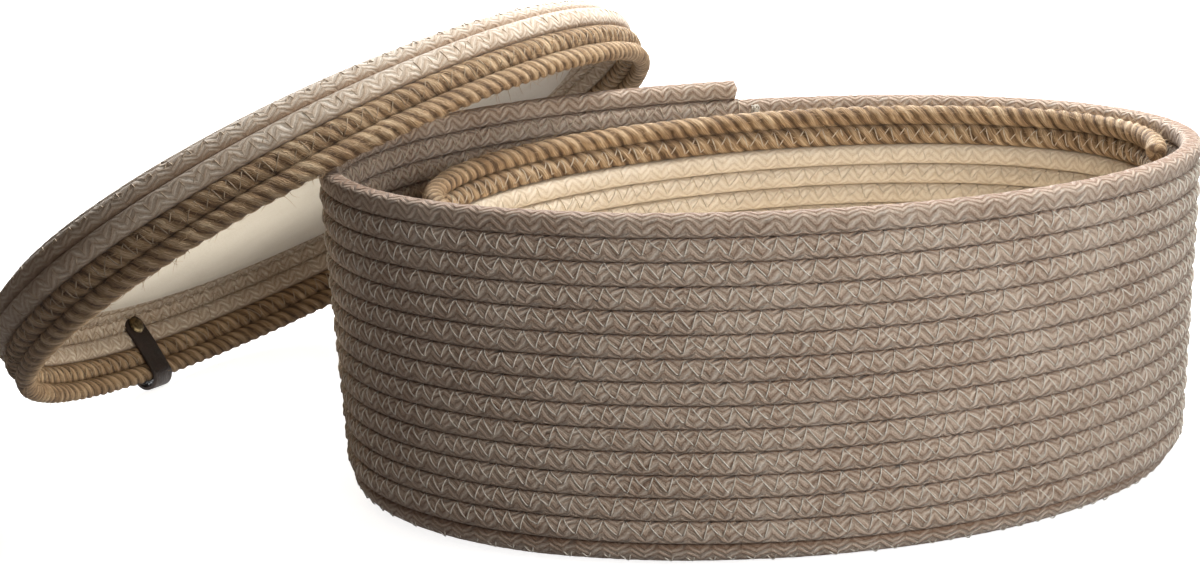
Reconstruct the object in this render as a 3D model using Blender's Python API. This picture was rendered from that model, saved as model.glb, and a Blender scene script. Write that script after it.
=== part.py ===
"""An oval basket of coiled cotton rope, a smaller jute-rimmed basket inside it and a lid leaning on its rim.

Metres, +Z up. The basket stands on the floor at the origin with its long side along X. In the lid's own
axes X runs along its long side, Y across to the side that stands on the floor and Z up to its top.
"""

import math

import bmesh
import bpy
import numpy as np
from mathutils import Matrix, Vector
from mathutils.bvhtree import BVHTree

MM = 0.001
TURN = 2 * math.pi
QUARTER = TURN / 4

# Rope and sewing
ROPE = 6.3 * MM
STITCH_GAP = 0.7 * MM
PITCH = ROPE + STITCH_GAP
CORNER_RADIUS = 9.0 * MM
SEAT_GAP = 0.3 * MM
LOOP_POINTS = 22
WALL_STEPS = 2 * LOOP_POINTS
TUBE_RESOLUTION = 1
CORNER_LEVELS = 3
RIM_STEPS = 4
WELD_GAP = 0.001 * MM

# Outer basket
OUTER_LENGTH = 280.0 * MM
OUTER_WIDTH = 197.0 * MM
OUTER_TURNS = 15.5
OUTER_LEAN = math.radians(1.8)
OUTER_END_ANGLE = math.radians(86.4)

# Inner basket, with room to lift it out, pushed to the right inside the outer one
INNER_END_PLAY = 27.4 * MM
INNER_SIDE_PLAY = 19.4 * MM
INNER_LENGTH = OUTER_LENGTH - 2 * ROPE - INNER_END_PLAY
INNER_WIDTH = OUTER_WIDTH - 2 * ROPE - INNER_SIDE_PLAY
INNER_TURNS = 13.6
INNER_JUTE_TURNS = 2.0
INNER_LEAN = math.radians(1.8)
INNER_END_ANGLE = math.radians(-23)
INNER_YAW = math.radians(5)
INNER_SIDE_GAP = 2.6 * MM
INNER_FRONT_SHIFT = 1.0 * MM

# Lid, sized to cap the outer basket
LID_CLEARANCE = 1.7 * MM
LID_TURNS = 4.5
LID_JUTE_TURNS = 2.0
LID_LEAN = 0.0
LID_END_ANGLE = math.radians(27.3)
LINING_THICKNESS = 1.2 * MM

# How the lid leans on the basket
LEAN_TURN = math.radians(52)
LEAN_REACH = 159.0 * MM
STEEPEST_LEAN = math.radians(70)
LEAN_STEP = math.radians(1)
SEARCH_STEPS = 12
REFINE_STEPS = 5
CONTACT_STEPS = 40
RIM_TURNS = 2.0

# Leather strap folded over the lid's rim
STRAP_WIDTH = 10.0 * MM
STRAP_THICKNESS = 1.6 * MM
STRAP_LEG = 21.0 * MM
STRAP_SLACK = 1.2 * MM
STRAP_CORNER = 3.0 * MM
STRAP_STEP = 4
CORNER_STEPS = 4
FOLD_STEPS = 10

# Rivet through the strap and the seam between two turns of the lid
RIVET_ROWS = 2.5
CAP_RADIUS = 3.3 * MM
CAP_HEIGHT = 1.5 * MM
WASHER_HEIGHT = 0.9 * MM
POST_RADIUS = 1.3 * MM
BORE_GAP = 0.15 * MM
RIVET_SIDES = 24
DOME_STEPS = 5

GREIGE = (0.60, 0.53, 0.45, 1.0)
CREAM = (0.80, 0.73, 0.60, 1.0)
JUTE_BROWN = (0.45, 0.30, 0.15, 1.0)
FELT_WHITE = (0.78, 0.77, 0.74, 1.0)
DARK_LEATHER = (0.07, 0.035, 0.02, 1.0)
ANTIQUE_BRASS = (0.32, 0.23, 0.11, 1.0)


def shorten(points, amount):
    """The same line with its last point drawn back along the last run."""
    run = points[-2] - points[-1]
    return [*points[:-1], points[-1] + run * (amount / np.linalg.norm(run))]


def splice_rows(jute_turns):
    """Where the jute rope carries on from the cotton one: in the middle of a straight step."""
    return (round(jute_turns * LOOP_POINTS) + 0.5) / LOOP_POINTS


class Coil:
    """One rope, wound in an oval from the edge of a flat plate, round a corner and up a wall."""

    def __init__(self, length, width, turns, lean, end_angle):
        self.half = (np.array([length, width]) - ROPE) / 2
        self.turns = round(turns * LOOP_POINTS) / LOOP_POINTS
        self.lean = lean
        self.end_angle = end_angle
        self.reach, rise = self.section(0.0)
        self.height = rise + ROPE

    def bend(self, rows):
        """The slope of the wall's section, this many rows before the rope's end."""
        run = (self.turns - rows) * PITCH
        return min(run / CORNER_RADIUS, QUARTER - self.lean)

    def section(self, rows, across=0.0, beyond=0.0):
        """How far out and up from the plate a place is, from the rope's centre this many rows before its end.

        across is the way out through the wall and beyond the way up it.
        """
        bend = self.bend(rows)
        radius = CORNER_RADIUS + across
        straight = (self.turns - rows) * PITCH - bend * CORNER_RADIUS + beyond
        out = radius * math.sin(bend) + straight * math.cos(bend)
        up = CORNER_RADIUS - radius * math.cos(bend) + straight * math.sin(bend)
        return out, up

    def place(self, rows, section, inset=0.0):
        """The point at this place of the wall's section, as far round as the rope is there."""
        out, up = section
        angle = self.end_angle + TURN * rows
        half = self.half - (self.reach - out) - inset
        return np.array([half[0] * math.cos(angle), half[1] * math.sin(angle), up + ROPE / 2])

    def point(self, rows, inset=0.0):
        """The rope's centre, this many turns before its end and drawn in by inset."""
        return self.place(rows, self.section(rows), inset)

    def on_step(self, rows):
        """The rope's centre on the straight step that crosses there."""
        step = math.floor(rows * LOOP_POINTS)
        share = rows * LOOP_POINTS - step
        return self.point(step / LOOP_POINTS) * (1 - share) + self.point((step + 1) / LOOP_POINTS) * share

    def points(self, last, first):
        """The rope's points from first rows before its end to last rows before it."""
        inner = np.arange(math.ceil(first * LOOP_POINTS) - 1, math.floor(last * LOOP_POINTS), -1)
        rows = np.concatenate([[first], inner / LOOP_POINTS, [last]])
        return np.array([self.on_step(row) for row in rows])

    def wall_outline(self, rows):
        """The wall's section under this turn: up its outer face, over its round top and down its inner one."""
        corner = (QUARTER - self.lean) * CORNER_RADIUS / PITCH
        levels = [self.turns - corner * level / CORNER_LEVELS for level in range(CORNER_LEVELS + 1)]
        outer = [self.section(level, ROPE / 2) for level in levels]
        inner = [self.section(level, -ROPE / 2) for level in levels[::-1]]
        arc = [math.pi * step / RIM_STEPS for step in range(RIM_STEPS + 1)]
        top = [self.section(rows, ROPE / 2 * math.cos(angle), ROPE / 2 * math.sin(angle)) for angle in arc]
        return np.array([self.place(rows, section) for section in outer + top + inner])

    def plate_outline(self):
        """The edge that the first turn lies round: a spiral that steps back in where the rope starts."""
        steps = np.arange(LOOP_POINTS + 1) / LOOP_POINTS
        outline = [self.point(self.turns - step, ROPE / 2 + SEAT_GAP)[:2] for step in steps]
        behind_start = shorten(outline[1::-1], -ROPE / 2)[-1]
        return [*shorten(outline, ROPE / 2), behind_start]

    def oval(self, inset):
        """An oval outline this far inside the plate's edge, with its corners where the wall has them."""
        section = (-inset, 0.0)
        return [self.place(step / WALL_STEPS, section)[:2] for step in range(WALL_STEPS)]


OUTER = Coil(OUTER_LENGTH, OUTER_WIDTH, OUTER_TURNS, OUTER_LEAN, OUTER_END_ANGLE)
INNER = Coil(INNER_LENGTH, INNER_WIDTH, INNER_TURNS, INNER_LEAN, INNER_END_ANGLE)
LID_GROWTH = 2 * (ROPE + LID_CLEARANCE)
LID = Coil(OUTER_LENGTH + LID_GROWTH, OUTER_WIDTH + LID_GROWTH, LID_TURNS, LID_LEAN, LID_END_ANGLE)


def clear_scene():
    for obj in list(bpy.data.objects):
        bpy.data.objects.remove(obj, do_unlink=True)


def material(name, colour, roughness, metallic=0.0):
    made = bpy.data.materials.new(name)
    made.use_nodes = True
    shader = made.node_tree.nodes["Principled BSDF"]
    shader.inputs["Base Color"].default_value = colour
    shader.inputs["Roughness"].default_value = roughness
    shader.inputs["Metallic"].default_value = metallic
    return made


def link(name, data, look, parent=None):
    obj = bpy.data.objects.new(name, data)
    data.materials.append(look)
    bpy.context.scene.collection.objects.link(obj)
    obj.parent = parent
    return obj


def mesh_object(name, verts, faces, look, parent=None):
    """A closed mesh with its faces turned outwards."""
    mesh = bpy.data.meshes.new(name)
    bm = bmesh.new()
    made = [bm.verts.new(vert) for vert in verts]
    for face in faces:
        bm.faces.new([made[index] for index in face])
    bmesh.ops.remove_doubles(bm, verts=bm.verts, dist=WELD_GAP)
    bmesh.ops.recalc_face_normals(bm, faces=bm.faces)
    bm.to_mesh(mesh)
    bm.free()
    return link(name, mesh, look, parent)


def slab(name, outline, low, high, look, parent):
    """A flat plate between two heights."""
    count = len(outline)
    verts = [(x, y, z) for z in (low, high) for x, y in outline]
    faces = [tuple(range(count)), tuple(range(count, 2 * count))]
    faces += [(i, (i + 1) % count, count + (i + 1) % count, count + i) for i in range(count)]
    return mesh_object(name, verts, faces, look, parent)


def turned(name, profile, look, parent):
    """A body of revolution round Z: a profile of radius and height whose ends lie on the axis or meet."""
    verts = []
    rings = []
    for radius, height in profile:
        sides = RIVET_SIDES if radius > 0 else 1
        rings.append(range(len(verts), len(verts) + sides))
        angles = [TURN * side / RIVET_SIDES for side in range(sides)]
        verts += [(radius * math.cos(angle), radius * math.sin(angle), height) for angle in angles]
    faces = []
    has_bore = profile[0][0] > 0
    following = rings[1:] + rings[:1] if has_bore else rings[1:]
    for one, two in zip(rings, following):
        for side in range(RIVET_SIDES):
            after = (side + 1) % RIVET_SIDES
            near = [one[side % len(one)], one[after % len(one)]]
            far = [two[after % len(two)], two[side % len(two)]]
            faces.append(tuple(dict.fromkeys(near + far)))
    return mesh_object(name, verts, faces, look, parent)


def rope(name, points, look, parent):
    """A round rope through these points, as one closed mesh."""
    curve = bpy.data.curves.new(name, "CURVE")
    curve.dimensions = "3D"
    curve.twist_mode = "Z_UP"
    curve.bevel_depth = ROPE / 2
    curve.bevel_resolution = TUBE_RESOLUTION
    curve.use_fill_caps = True
    spline = curve.splines.new("POLY")
    spline.points.add(len(points) - 1)
    for place, point in zip(spline.points, points):
        place.co = (*point, 1.0)
    return link(name, curve, look, parent)


def wall_shell(name, coil, last, look, parent):
    """A wound wall as one plain open shell, whose rim follows the rope's last turn and steps at its end."""
    first_step = round(last * WALL_STEPS)
    rings = [coil.wall_outline((first_step + step) / WALL_STEPS) for step in range(WALL_STEPS + 1)]
    size = len(rings[0])
    rim = CORNER_LEVELS + 1
    rim_end = rim + RIM_STEPS
    low_ring = (len(rings) - 1) * size
    faces = []
    for start in range(0, low_ring, size):
        for spot in range(size):
            after = (spot + 1) % size
            faces.append([start + spot, start + size + spot, start + size + after, start + after])
    faces[rim - 1].append(low_ring + rim)
    faces[rim_end].append(low_ring + rim_end)
    low_rim = range(low_ring + rim_end, low_ring + rim - 1, -1)
    faces.append([*range(rim, rim_end + 1), *low_rim])
    return mesh_object(name, np.concatenate(rings), faces, look, parent)


def as_mesh(obj):
    """The same object, with its curve turned into a mesh so that it can be cut."""
    mesh = bpy.data.meshes.new_from_object(obj.evaluated_get(bpy.context.evaluated_depsgraph_get()))
    made = bpy.data.objects.new(obj.name + "_mesh", mesh)
    bpy.context.scene.collection.objects.link(made)
    made.parent = obj.parent
    name = obj.name
    bpy.data.objects.remove(obj, do_unlink=True)
    made.name = name
    return made


def empty(name):
    obj = bpy.data.objects.new(name, None)
    bpy.context.scene.collection.objects.link(obj)
    return obj


def cut(obj, cutter):
    change = obj.modifiers.new("rivet_hole", "BOOLEAN")
    change.operation = "DIFFERENCE"
    change.solver = "EXACT"
    change.object = cutter


def least_gap(points):
    """The least clear space between one turn of a rope and the next."""
    fine = refine(points)
    spacing = LOOP_POINTS * REFINE_STEPS
    least = math.inf
    for index in range(len(fine) - spacing // 2):
        others = fine[index + spacing // 2 :]
        least = min(least, np.sqrt(((others - fine[index]) ** 2).sum(axis=1)).min())
    return least - ROPE


def refine(points, steps=REFINE_STEPS):
    """The points with more of them put along each straight run."""
    shares = np.arange(steps) / steps
    runs = points[:-1, None] + (points[1:] - points[:-1])[:, None] * shares[None, :, None]
    return np.vstack([runs.reshape(-1, 3), points[-1:]])


def in_lid(points):
    """Points of the lid's coil, turned over so that the rim lies at zero and the plate is on top."""
    return np.array(points) * (1, 1, -1) + (0, 0, LID.height)


def strap_frame():
    """Axes where the strap crosses the rim, mid-step: along the rim, out of the wall and up."""
    before, after = in_lid([LID.point((STRAP_STEP + share) / LOOP_POINTS) for share in (0, 1)])
    along = Vector(after - before)
    along.z = 0
    along.normalize()
    outward = along.cross(Vector((0, 0, 1)))
    frame = Matrix((along, outward, (0, 0, 1))).transposed().to_4x4()
    frame.translation = Vector((*(before + after)[:2] / 2, 0))
    return frame


def wall_at(run):
    """How far in and how high the lid's wall is, this far up from its rim at the strap."""
    rows = (STRAP_STEP + 0.5) / LOOP_POINTS + run / PITCH
    out, up = LID.section(rows)
    return LID.reach - out, LID.height - up - ROPE / 2


def strap_seat():
    """Where the strap's two straight legs and the middle of its fold lie, across the wall and up it."""
    tip_inset, tip = wall_at(STRAP_LEG)
    rim = wall_at(0.0)[1]
    outer = ROPE / 2 + SEAT_GAP
    inner = -tip_inset - outer
    return inner, outer, rim - STRAP_SLACK, tip


def strap_path():
    """Places along the strap: a centre, the way from it to the leather and half the strap's width there."""
    inner, outer, low, tip = strap_seat()
    middle = (inner + outer) / 2
    drops = [STRAP_CORNER * (1 - math.cos(QUARTER * i / CORNER_STEPS)) for i in range(CORNER_STEPS + 1)]
    leg = []
    for drop in drops:
        into = STRAP_CORNER - drop
        half_width = STRAP_WIDTH / 2 - STRAP_CORNER + math.sqrt(STRAP_CORNER**2 - into**2)
        leg.append((Vector((0, middle, tip - drop)), half_width))
    path = [(centre, Vector((0, -1, 0)), half_width) for centre, half_width in leg]
    for i in range(FOLD_STEPS + 1):
        angle = math.pi * i / FOLD_STEPS
        away = Vector((0, -math.cos(angle), -math.sin(angle)))
        path.append((Vector((0, middle, low)), away, STRAP_WIDTH / 2))
    path += [(centre, Vector((0, 1, 0)), half_width) for centre, half_width in leg[::-1]]
    return path, (outer - inner) / 2


def strap_rings():
    """The strap's cross-sections in the lid's axes."""
    frame = strap_frame()
    path, near = strap_path()
    rings = []
    for centre, away, half_width in path:
        side = Vector((half_width, 0, 0))
        inside = centre + away * near
        outside = centre + away * (near + STRAP_THICKNESS)
        corners = (inside - side, inside + side, outside + side, outside - side)
        rings.append([frame @ corner for corner in corners])
    return rings


def lid_pose(tilt):
    """The lid's place at this tilt, with its lowest point just clear of the floor."""
    turn = Matrix.Rotation(LEAN_TURN, 4, "Z") @ Matrix.Rotation(-tilt, 4, "X")
    axes = np.array(turn.to_3x3())
    rim = in_lid(LID.points(0.0, RIM_TURNS)) @ axes.T
    strap = np.array([corner for ring in strap_rings() for corner in ring]) @ axes.T
    lowest = min(rim[:, 2].min() - ROPE / 2, strap[:, 2].min())
    place = (-LEAN_REACH * math.sin(LEAN_TURN), LEAN_REACH * math.cos(LEAN_TURN), SEAT_GAP - lowest)
    return Matrix.Translation(place) @ turn


def wall_middle():
    """The surface down the middle of the outer wall, from its rim to a few turns below."""
    turn = [step / WALL_STEPS for step in range(WALL_STEPS + 1)]
    verts = [OUTER.place(rows, OUTER.section(rows + down)) for rows in turn for down in (0.0, RIM_TURNS)]
    faces = [(i, i + 2, i + 3, i + 1) for i in range(0, 2 * WALL_STEPS, 2)]
    return BVHTree.FromPolygons([Vector(vert) for vert in verts], faces)


def rim_distance(pose, basket):
    """The least distance between the centre of the lid's rope and the middle of the outer basket's wall."""
    placed = np.array(pose)
    rim = refine(in_lid(LID.points(0.0, RIM_TURNS)), CONTACT_STEPS) @ placed[:3, :3].T + placed[:3, 3]
    return min(basket.find_nearest(point)[3] for point in rim)


def leaning_pose():
    """The lid let down until its rim is within the seat gap of the basket's rim."""
    seated = ROPE + SEAT_GAP
    basket = wall_middle()
    high = STEEPEST_LEAN
    while high > LEAN_STEP and rim_distance(lid_pose(high - LEAN_STEP), basket) > seated:
        high -= LEAN_STEP
    low = high - LEAN_STEP
    for _ in range(SEARCH_STEPS):
        tilt = (low + high) / 2
        if rim_distance(lid_pose(tilt), basket) > seated:
            high = tilt
        else:
            low = tilt
    return lid_pose(high), high


def make_outer(cotton):
    slab("outer_base", OUTER.oval(SEAT_GAP), 0.0, ROPE, cotton, None)
    wall_shell("outer_wall", OUTER, 0.0, cotton, None)


def make_inner(cotton, jute):
    axis = empty("inner_lift_axis")
    side = INNER_END_PLAY / 2 - INNER_SIDE_GAP
    axis.location = (side, -INNER_FRONT_SHIFT, ROPE + SEAT_GAP)
    axis.rotation_euler = (0, 0, INNER_YAW)
    rows = splice_rows(INNER_JUTE_TURNS)
    jute_points = np.array(shorten(INNER.points(0.0, rows)[::-1], SEAT_GAP)[::-1])
    slab("inner_base", INNER.oval(SEAT_GAP), 0.0, ROPE, cotton, axis)
    wall_shell("inner_wall", INNER, rows, cotton, axis)
    rope("inner_rim", jute_points, jute, axis)
    print("inner rim, least gap between turns, mm:", round(least_gap(jute_points) / MM, 2))


def make_rivet(brass, strap, wall, axis):
    """A domed cap with its post, and a washer over the post's far end."""
    inner, outer = strap_seat()[:2]
    height = wall_at(RIVET_ROWS * PITCH)[1]
    reach = (outer - inner) / 2 + STRAP_THICKNESS + SEAT_GAP
    facing_in = Matrix.Translation((0, (inner + outer) / 2, height)) @ Matrix.Rotation(QUARTER, 4, "X")
    place = strap_frame() @ facing_in
    dome = [QUARTER * i / DOME_STEPS for i in range(DOME_STEPS + 1)]
    cap = [(CAP_RADIUS * math.sin(angle), reach + CAP_HEIGHT * math.cos(angle)) for angle in dome]
    post_end = -reach - WASHER_HEIGHT
    post = [(POST_RADIUS, reach), (POST_RADIUS, post_end), (0, post_end)]
    turned("rivet_cap", cap + post, brass, axis).matrix_local = place
    bore = POST_RADIUS + BORE_GAP
    ring = [(bore, -reach), (CAP_RADIUS, -reach), (CAP_RADIUS, post_end), (bore, post_end)]
    turned("rivet_washer", ring, brass, axis).matrix_local = place
    cutter = turned("rivet_bore", [(0, reach), (bore, reach), (bore, -reach), (0, -reach)], brass, axis)
    cutter.matrix_local = place
    cutter.hide_render = True
    cutter.display_type = "WIRE"
    for obj in (strap, wall):
        cut(obj, cutter)


def make_lid(cotton, jute, felt, leather, brass):
    pose, tilt = leaning_pose()
    axis = empty("lid_lift_axis")
    axis.matrix_world = pose
    rows = splice_rows(LID_JUTE_TURNS)
    cotton_points = in_lid(shorten(LID.points(rows, LID.turns), SEAT_GAP / 2))
    jute_points = in_lid(shorten(LID.points(0.0, rows)[::-1], SEAT_GAP / 2)[::-1])
    slab("lid_top", LID.plate_outline(), LID.height - ROPE, LID.height, cotton, axis)
    wall = as_mesh(rope("lid_wall", cotton_points, cotton, axis))
    rope("lid_rim", jute_points, jute, axis)
    lining_top = LID.height - ROPE - SEAT_GAP
    outline = LID.oval(ROPE / 2 + SEAT_GAP)
    slab("lid_lining", outline, lining_top - LINING_THICKNESS, lining_top, felt, axis)
    rings = strap_rings()
    verts = [corner for ring in rings for corner in ring]
    faces = [tuple(range(4)), tuple(range(len(verts) - 4, len(verts)))]
    for start in range(0, len(verts) - 4, 4):
        faces += [(start + i, start + (i + 1) % 4, start + 4 + (i + 1) % 4, start + 4 + i) for i in range(4)]
    strap = mesh_object("lid_strap", verts, faces, leather, axis)
    make_rivet(brass, strap, wall, axis)
    print("lid wall, least gap between turns, mm:", round(least_gap(cotton_points) / MM, 2))
    print("lid rim, least gap between turns, mm:", round(least_gap(jute_points) / MM, 2))
    print("lid tilt, degrees:", round(math.degrees(tilt), 2))


def main():
    clear_scene()
    outer_cotton = material("greige_cotton_rope", GREIGE, 0.9)
    cream_cotton = material("cream_cotton_rope", CREAM, 0.9)
    jute = material("jute_rope", JUTE_BROWN, 0.85)
    felt = material("white_felt", FELT_WHITE, 0.95)
    leather = material("dark_leather", DARK_LEATHER, 0.5)
    brass = material("antique_brass", ANTIQUE_BRASS, 0.4, metallic=1.0)
    make_outer(outer_cotton)
    make_inner(cream_cotton, jute)
    make_lid(cream_cotton, jute, felt, leather, brass)


main()
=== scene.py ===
"""Dresses the knitting basket: braided cotton rope, twisted jute, zigzag sewing, felt, leather and brass."""

import math

import bpy
import numpy as np
from mathutils import Matrix, Vector


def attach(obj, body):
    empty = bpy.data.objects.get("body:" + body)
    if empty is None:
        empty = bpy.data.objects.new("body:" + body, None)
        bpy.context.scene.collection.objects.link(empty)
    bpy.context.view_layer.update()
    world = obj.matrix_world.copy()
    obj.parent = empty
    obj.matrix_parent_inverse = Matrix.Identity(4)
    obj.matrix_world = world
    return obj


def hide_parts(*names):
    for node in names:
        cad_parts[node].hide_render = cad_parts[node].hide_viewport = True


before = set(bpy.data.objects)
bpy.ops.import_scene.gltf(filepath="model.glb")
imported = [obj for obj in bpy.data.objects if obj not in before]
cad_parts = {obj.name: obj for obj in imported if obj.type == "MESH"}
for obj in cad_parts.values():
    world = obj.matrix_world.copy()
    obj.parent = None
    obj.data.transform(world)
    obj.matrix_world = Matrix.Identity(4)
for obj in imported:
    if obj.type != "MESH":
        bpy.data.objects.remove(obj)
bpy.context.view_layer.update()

MM = 0.001
TURN = 2 * math.pi
QUARTER = TURN / 4
SEED = 7

# Rope, as in the solids
ROPE = 6.3 * MM
PITCH = 7.0 * MM
CORNER_RADIUS = 9.0 * MM
SEAT_GAP = 0.3 * MM
LOOP_POINTS = 22
FINE_STEPS = 360
MIDDLE_START = 2 / 3
BOW_SPEED = 1.5
END_ROUND = ROPE / 4
END_SHARE = 0.02

# Outer basket
OUTER_LENGTH = 280.0 * MM
OUTER_WIDTH = 197.0 * MM
OUTER_TURNS = 15.5
OUTER_LEAN = math.radians(1.8)
OUTER_END_ANGLE = math.radians(86.4)

# Inner basket
INNER_END_PLAY = 27.4 * MM
INNER_SIDE_PLAY = 19.4 * MM
INNER_LENGTH = OUTER_LENGTH - 2 * ROPE - INNER_END_PLAY
INNER_WIDTH = OUTER_WIDTH - 2 * ROPE - INNER_SIDE_PLAY
INNER_TURNS = 13.6
INNER_JUTE_TURNS = 2.0
INNER_LEAN = math.radians(1.8)
INNER_END_ANGLE = math.radians(-23)
INNER_YAW = math.radians(5)
INNER_SIDE_GAP = 2.6 * MM
INNER_FRONT_SHIFT = 1.0 * MM

# Lid
LID_CLEARANCE = 1.7 * MM
LID_TURNS = 4.5
LID_JUTE_TURNS = 2.0
LID_LEAN = 0.0
LID_END_ANGLE = math.radians(27.3)
LINING_THICKNESS = 1.2 * MM

# Braid of the cotton rope
COTTON_SIDES = 20
COTTON_STEP = 1.15 * MM
BRAID_PERIOD = 7.9 * MM
YARNS = 10
YARN_SLANT = 1.25
YARN_RELIEF = 0.14 * MM
TUCK_SHARE = 0.12
TUCK_ANGLE = math.radians(48)
TUCK_SPREAD = math.radians(26)
FLAT_BELOW = 0.25 * MM
SQUARE_SHARE = 0.68
WOBBLE = 0.05 * MM
WOBBLE_WAVES = 5
SHORTEST_WAVE = 19.0 * MM
LONGEST_WAVE = 83.0 * MM
YARN_STEADY = 0.7

# Lay of the jute rope
JUTE_SIDES = 24
JUTE_STEP = 0.8 * MM
JUTE_STRANDS = 3
STRAND_SPACING = 5.0 * MM
STRAND_DEPTH_SHARE = 0.27
STRAND_SWELL = 1.03
STRAND_FULLNESS = 0.8
LUMP_SHARE = 0.03
LUMP_RATES = (7, 5)
HAIR_SPACING = 0.55 * MM
HAIR_LENGTH = 4.8 * MM
HAIR_SHORTEST = 0.4
HAIR_STAND = 0.7
HAIR_CURL = 0.25
HAIR_FOOT = 0.49 * ROPE
HAIR_RADIUS = 0.09 * MM
HAIR_TAPER = 0.8
HAIR_POINTS = 5
HAIR_SIDES = 3

# Zigzag thread
THREAD_RADIUS = 0.2 * MM
THREAD_SIDES = 4
ZIGZAG_PERIOD = 5.9 * MM
STITCH_TOP = math.radians(74)
STITCH_LOW = math.radians(-8)
JUTE_STITCH_LOW = math.radians(-34)
STITCH_VARIES = math.radians(7)
STITCH_STEPS = 6
STITCH_RISE_SHARE = 0.72
STITCH_SINK_SHARE = 0.9
STITCH_SINK_REACH = 0.12
STITCH_RATE = 3
STITCH_DRIFT = 0.06
PROUD_RISING = 1.5
PROUD_FALLING = 3
JUTE_SINK = 4
JUTE_SINK_VARIES = 1.5
JUTE_SINK_RATE = 7
LEAD_SHARE = 0.3

# Strap and rivet
STRAP_WIDTH = 10.0 * MM
STRAP_THICKNESS = 1.6 * MM
STRAP_LEG = 21.0 * MM
STRAP_SLACK = 1.2 * MM
STRAP_CORNER = 3.6 * MM
STRAP_STEP = 4
STRAP_EDGE = 0.5 * MM
STRAP_SEAT = 0.42 * MM
STRAP_PINCH = 0.5 * MM
STRAP_PINCH_REACH = 4.0 * MM
CORNER_STEPS = 10
LEG_STEPS = 14
FOLD_STEPS = 18
EDGE_STEPS = 3
RIVET_ROWS = 2.5
CAP_RADIUS = 3.3 * MM
CAP_HEIGHT = 1.5 * MM
CAP_EDGE = 0.35 * MM
WASHER_HEIGHT = 0.9 * MM
POST_RADIUS = 1.3 * MM
BORE_GAP = 0.15 * MM
RIVET_SIDES = 48
DOME_STEPS = 10

SHARP_ANGLE = math.radians(40)

# Depth of the relief that the materials add
BRAID_BUMP = 0.65 * MM
JUTE_BUMP = 0.9 * MM
GRAIN_BUMP = 0.15 * MM

# Scales of the materials' noises, per metre
BRAID_WAVER = 260.0
BRAID_DRIFT = 60.0
FUZZ = 2200.0
COTTON_PATCH = 45.0
JUTE_WAVER = 220.0
JUTE_PATCH = 90.0
THREAD_PATCH = 700.0
THREAD_PLY = 4000.0
FELT_MAT = 1400.0
FELT_MOTTLE = 60.0
LEATHER_GRAIN = 1300.0
LEATHER_CREASE = 500.0
LEATHER_WEAR = 120.0
BRASS_PATINA = 650.0
BRASS_DENT = 1800.0
PAPER_TOOTH = 900.0
PAPER_SHADE = 3.0

# The braid's yarns: plies in each, how plump their middles are, and how they stand above each other
PLY_TURN = 1.5 * TURN
PLUMP_SHARE = 0.55
UPPER_LEVEL = 0.8
UPPER_SWING = 0.2

# Fineness of the fibres' noise: along and round the cotton braid, and across and along jute
COTTON_FIBRES = (7.0, 14.0)
COARSE_FIBRES = (10.0, 1.2)
FINE_FIBRES = (34.0, 3.0)
STREAK_SPAN = (0.36, 0.64)

# Roughness where the noise is low and high
NOISE_SPAN = (0.3, 0.7)
LEATHER_ROUGHNESS = (0.42, 0.62)
BRASS_ROUGHNESS = (0.55, 0.3)

# Where the painted shade in the seams sets in, and how much of the full tone it keeps
SEAM_EDGE = 0.72
SEAM_KEEPS = 0.4

# Places of the tones on their scale, from dark to light
COTTON_STOPS = (0.1, 0.5, 0.95)
JUTE_STOPS = (0.22, 0.62, 1.0)
PLAIN_STOPS = (0.3, 0.7)
FELT_STOPS = (0.35, 0.65)
LEATHER_STOPS = (0.3, 0.55, 0.8)
BRASS_STOPS = (0.35, 0.5, 0.72)

# Tones of each material, from dark to light. The dark ends of the cotton and jute tones are also the painted
# shade between yarns and strands and in the seams
GREIGE = ((0.24, 0.14, 0.085), (0.60, 0.48, 0.385), (0.90, 0.83, 0.74))
CREAM = ((0.58, 0.47, 0.34), (0.79, 0.70, 0.57), (0.88, 0.81, 0.69))
PALE = ((0.40, 0.28, 0.19), (0.62, 0.53, 0.43), (0.90, 0.85, 0.77))
JUTE_BROWN = ((0.13, 0.07, 0.032), (0.48, 0.31, 0.165), (0.94, 0.75, 0.50))
PALE_THREAD = ((0.72, 0.67, 0.58), (0.92, 0.89, 0.82))
CREAM_THREAD = ((0.56, 0.47, 0.36), (0.76, 0.67, 0.54))
TAN_THREAD = ((0.36, 0.26, 0.17), (0.55, 0.44, 0.31))
FELT_WHITE = ((0.84, 0.80, 0.72), (0.93, 0.90, 0.83))
DARK_LEATHER = ((0.008, 0.004, 0.002), (0.018, 0.008, 0.005), (0.045, 0.022, 0.012))
ANTIQUE_BRASS = ((0.08, 0.06, 0.035), (0.20, 0.155, 0.085), (0.36, 0.28, 0.16))
PALE_PAPER = ((0.84, 0.84, 0.84), (0.88, 0.88, 0.87))

# Floor and light
FLOOR_REACH = 9.0
FLOOR_GLOW = 0.86
WARM_SKY = (1.0, 0.70, 0.48, 1.0)
SKY_STRENGTH = 0.065
WHITE_LIGHT = (1.0, 0.99, 0.97)
SOFT_LIGHT = (1.0, 0.98, 0.95)
COOL_LIGHT = (0.96, 0.98, 1.0)
WARM_LIGHT = (1.0, 0.93, 0.80)
WIDE_SPREAD = 180

# Felt lining
LINING_SIDES = 96
LINING_RINGS = 14
LINING_MARGIN = 7.5 * MM
LINING_SWELL = 0.25 * MM
LINING_WAVE = 17.0 * MM

# Ball of thread ends near the outer rope's end
KNOT_RADIUS = 1.5 * MM
KNOT_POINTS = 160
KNOT_WINDS = (5, 3, 7)
KNOT_TANGLE = 0.05 * KNOT_RADIUS
KNOT_ROWS = 0.993

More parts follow.
